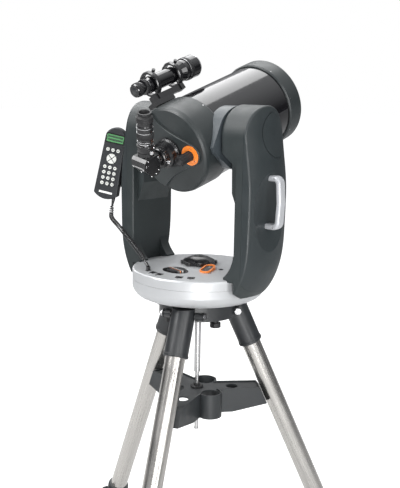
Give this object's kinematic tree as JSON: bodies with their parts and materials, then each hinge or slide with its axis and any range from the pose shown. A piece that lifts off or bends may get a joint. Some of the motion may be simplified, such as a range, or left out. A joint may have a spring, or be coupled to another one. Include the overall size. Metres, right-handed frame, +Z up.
{
  "type": "schmidt cassegrain telescope",
  "caption": "Fork-mounted computerised Schmidt-Cassegrain telescope with finder, star diagonal, hand control and a steel tripod with a tray.",
  "frame": {"origin": "on the floor under the middle of the box round the whole telescope", "axes": "+Z up, +Y the way the tube points, +X to the right seen from behind the eyepiece"},
  "size_m": [0.8158, 0.845, 1.4775],
  "materials": {
    "casting": "textured dark grey",
    "dark_steel": "zinc plated",
    "black_plastic": "matte",
    "steel": "turned",
    "bare_metal": "machined",
    "brass": "machined",
    "tray_plastic": "satin",
    "silver_paint": "metallic satin",
    "orange_plastic": "gloss",
    "badge": "gloss with plain stripes",
    "silver_knob": "metallic satin",
    "arm_paint": "fine textured",
    "arm_plastic": "fine textured",
    "handle_silver": "metallic satin",
    "gloss_black": "gloss lacquer",
    "cell_paint": "fine textured paint",
    "glass": "coated",
    "black_metal": "satin anodised",
    "mirror": "polished",
    "black_rubber": "matte",
    "bracket_paint": "satin paint",
    "control_plastic": "matte",
    "display": "gloss",
    "keys": "satin",
    "cord_black": "satin",
    "leg_steel": "polished"
  },
  "bodies": {
    "tripod": {"tripod_head": "casting", "leg_pivot_bolts": "dark_steel", "mount_knobs": "black_plastic", "center_rod": "steel", "mount_plate": "bare_metal", "azimuth_wheel": "brass"},
    "tray": {"accessory_tray": "tray_plastic"},
    "tray_knob": {"tray_knob": "black_plastic"},
    "fork": {"base_upper_cover": "silver_paint", "base_lower_cover": "silver_paint", "port_sockets": "black_plastic", "switch_bezel": "orange_plastic", "name_badge": "badge", "drive_motors": "dark_steel", "right_arm_frame": "arm_paint", "left_arm_frame": "arm_paint", "right_arm_cover": "arm_plastic", "left_arm_cover": "arm_plastic", "pivot_cap": "arm_plastic", "carry_handles": "handle_silver", "control_holder": "black_plastic", "control_cord": "cord_black", "cord_plug": "cord_black"},
    "azimuth_worm": {"azimuth_worm": "dark_steel"},
    "altitude_worm": {"altitude_worm": "dark_steel"},
    "azimuth_lock_knob": {"azimuth_lock_knob": "silver_knob"},
    "altitude_lock_knob": {"altitude_lock_knob": "black_plastic"},
    "power_rocker": {"power_rocker": "black_plastic"},
    "hand_control": {"control_case": "control_plastic", "control_display": "display"},
    "keypad": {"control_keypad": "keys"},
    "ota": {"optical_tube": "gloss_black", "front_cell": "cell_paint", "corrector_plate": "glass", "secondary_mirror": "black_metal", "rear_cell": "cell_paint", "baffle_tube": "black_metal", "focus_trim": "orange_plastic", "altitude_brackets": "bracket_paint", "altitude_wheel": "brass", "visual_back": "black_metal", "finder_tube": "gloss_black", "finder_bracket": "black_metal"},
    "focus_knob": {"focus_knob": "black_rubber"},
    "primary_mirror": {"primary_mirror": "mirror"},
    "star_diagonal": {"star_diagonal": "black_metal"},
    "eyepiece": {"eyepiece": "black_rubber"},
    "leg_a": {"leg_a_socket": "casting", "leg_a_tube": "leg_steel"},
    "foot_a": {"leg_a_inner": "leg_steel"},
    "clamp_knob_a": {"leg_a_knob": "black_plastic"},
    "leg_b": {"leg_b_socket": "casting", "leg_b_tube": "leg_steel"},
    "foot_b": {"leg_b_inner": "leg_steel"},
    "clamp_knob_b": {"leg_b_knob": "black_plastic"},
    "leg_c": {"leg_c_socket": "casting", "leg_c_tube": "leg_steel"},
    "foot_c": {"leg_c_inner": "leg_steel"},
    "clamp_knob_c": {"leg_c_knob": "black_plastic"}
  },
  "joints": [
    {"name": "leg_a_fold", "type": "hinge", "parent": "tripod", "child": "leg_a", "pos_m": [0.1073, -0.04733, 0.82], "axis": [0.9455, 0.3256, 0], "range_deg": [0, 2]},
    {"name": "leg_a_extend", "type": "slide", "parent": "leg_a", "child": "foot_a", "axis": [0.1324, -0.3846, -0.9135], "range_m": [0, 0.4]},
    {"name": "leg_a_clamp", "type": "hinge", "parent": "leg_a", "child": "clamp_knob_a", "pos_m": [0.20855, -0.34138, 0.12848], "axis": [0.9455, 0.3256, 0], "range_deg": [0, 720]},
    {"name": "leg_b_fold", "type": "hinge", "parent": "tripod", "child": "leg_b", "pos_m": [0.13936, 0.11759, 0.82], "axis": [-0.7547, 0.6561, 0], "range_deg": [0, 2]},
    {"name": "leg_b_extend", "type": "slide", "parent": "leg_b", "child": "foot_b", "axis": [0.2668, 0.307, -0.9135], "range_m": [0, 0.4]},
    {"name": "leg_b_clamp", "type": "hinge", "parent": "leg_b", "child": "clamp_knob_b", "pos_m": [0.34339, 0.35229, 0.12848], "axis": [-0.7547, 0.6561, 0], "range_deg": [0, 720]},
    {"name": "leg_c_fold", "type": "hinge", "parent": "tripod", "child": "leg_c", "pos_m": [-0.01949, 0.06289, 0.82], "axis": [-0.1908, -0.9816, 0], "range_deg": [0, 2]},
    {"name": "leg_c_extend", "type": "slide", "parent": "leg_c", "child": "foot_c", "axis": [-0.3993, 0.0776, -0.9135], "range_m": [0, 0.4]},
    {"name": "leg_c_clamp", "type": "hinge", "parent": "leg_c", "child": "clamp_knob_c", "pos_m": [-0.32476, 0.12223, 0.12848], "axis": [-0.1908, -0.9816, 0], "range_deg": [0, 720]},
    {"name": "tray_slide", "type": "slide", "parent": "tripod", "child": "tray", "axis": [0, 0, -1], "range_m": [0, 0.0273]},
    {"name": "tray_knob_turn", "type": "hinge", "parent": "tray", "child": "tray_knob", "pos_m": [0.07573, 0.04438, 0.52], "axis": [0, 0, 1], "range_deg": [-1800, 0]},
    {"name": "azimuth_turn", "type": "hinge", "parent": "tripod", "child": "fork", "pos_m": [0.07573, 0.04438, 0.868], "axis": [0, 0, 1], "continuous": true},
    {"name": "azimuth_worm_turn", "type": "hinge", "parent": "fork", "child": "azimuth_worm", "pos_m": [0.01329, -0.01806, 0.889], "axis": [0.7071, -0.7071, 0], "continuous": true},
    {"name": "altitude_turn", "type": "hinge", "parent": "fork", "child": "ota", "pos_m": [0.07573, 0.04438, 1.272], "axis": [1, 0, 0], "range_deg": [-107.5, 77.5]},
    {"name": "altitude_worm_turn", "type": "hinge", "parent": "fork", "child": "altitude_worm", "pos_m": [0.26372, 0.03238, 1.2037], "axis": [0, 1, 0], "range_deg": [-19400, 14000]},
    {"name": "azimuth_lock_turn", "type": "hinge", "parent": "fork", "child": "azimuth_lock_knob", "pos_m": [0.07573, 0.04438, 0.948], "axis": [0, 0, 1], "range_deg": [-90, 0]},
    {"name": "altitude_lock_turn", "type": "hinge", "parent": "fork", "child": "altitude_lock_knob", "pos_m": [-0.15427, 0.04438, 1.272], "axis": [-1, 0, 0], "range_deg": [-90, 0]},
    {"name": "power_rock", "type": "hinge", "parent": "fork", "child": "power_rocker", "pos_m": [0.14072, 0.00438, 0.932], "axis": [-0.9455, -0.3256, 0], "range_deg": [-4, 4]},
    {"name": "hand_control_lift", "type": "slide", "parent": "fork", "child": "hand_control", "axis": [0.1652, 0.0954, 0.9816], "range_m": [0, 0.06]},
    {"name": "keypad_press", "type": "slide", "parent": "hand_control", "child": "keypad", "axis": [-0.5, 0.866, 0], "range_m": [0, 0.001], "stiffness_N_per_m": 800},
    {"name": "focus_turn", "type": "hinge", "parent": "ota", "child": "focus_knob", "pos_m": [0.14372, -0.07458, 1.2303], "axis": [0, 0.9537, 0.3007], "range_deg": [-3604, 3604]},
    {"name": "mirror_focus", "type": "slide", "parent": "ota", "child": "primary_mirror", "axis": [0, 0.9537, 0.3007], "range_m": [-0.0075, 0.0075]},
    {"name": "diagonal_turn", "type": "hinge", "parent": "ota", "child": "star_diagonal", "pos_m": [0.07573, -0.11775, 1.22088], "axis": [0, 0.9537, 0.3007], "range_deg": [-90, 90]},
    {"name": "eyepiece_draw", "type": "slide", "parent": "star_diagonal", "child": "eyepiece", "axis": [0.2419, -0.2918, 0.9254], "range_m": [0, 0.03]}
  ],
  "couplings": [
    {"joint": "leg_b_fold", "follows": "leg_a_fold", "ratio": 1},
    {"joint": "leg_c_fold", "follows": "leg_a_fold", "ratio": 1},
    {"joint": "tray_slide", "follows": "leg_a_fold", "m_per_rad": 0.78},
    {"joint": "azimuth_worm_turn", "follows": "azimuth_turn", "ratio": 180},
    {"joint": "altitude_worm_turn", "follows": "altitude_turn", "ratio": 180},
    {"joint": "focus_turn", "follows": "mirror_focus", "rad_per_m": 8377.6}
  ]
}
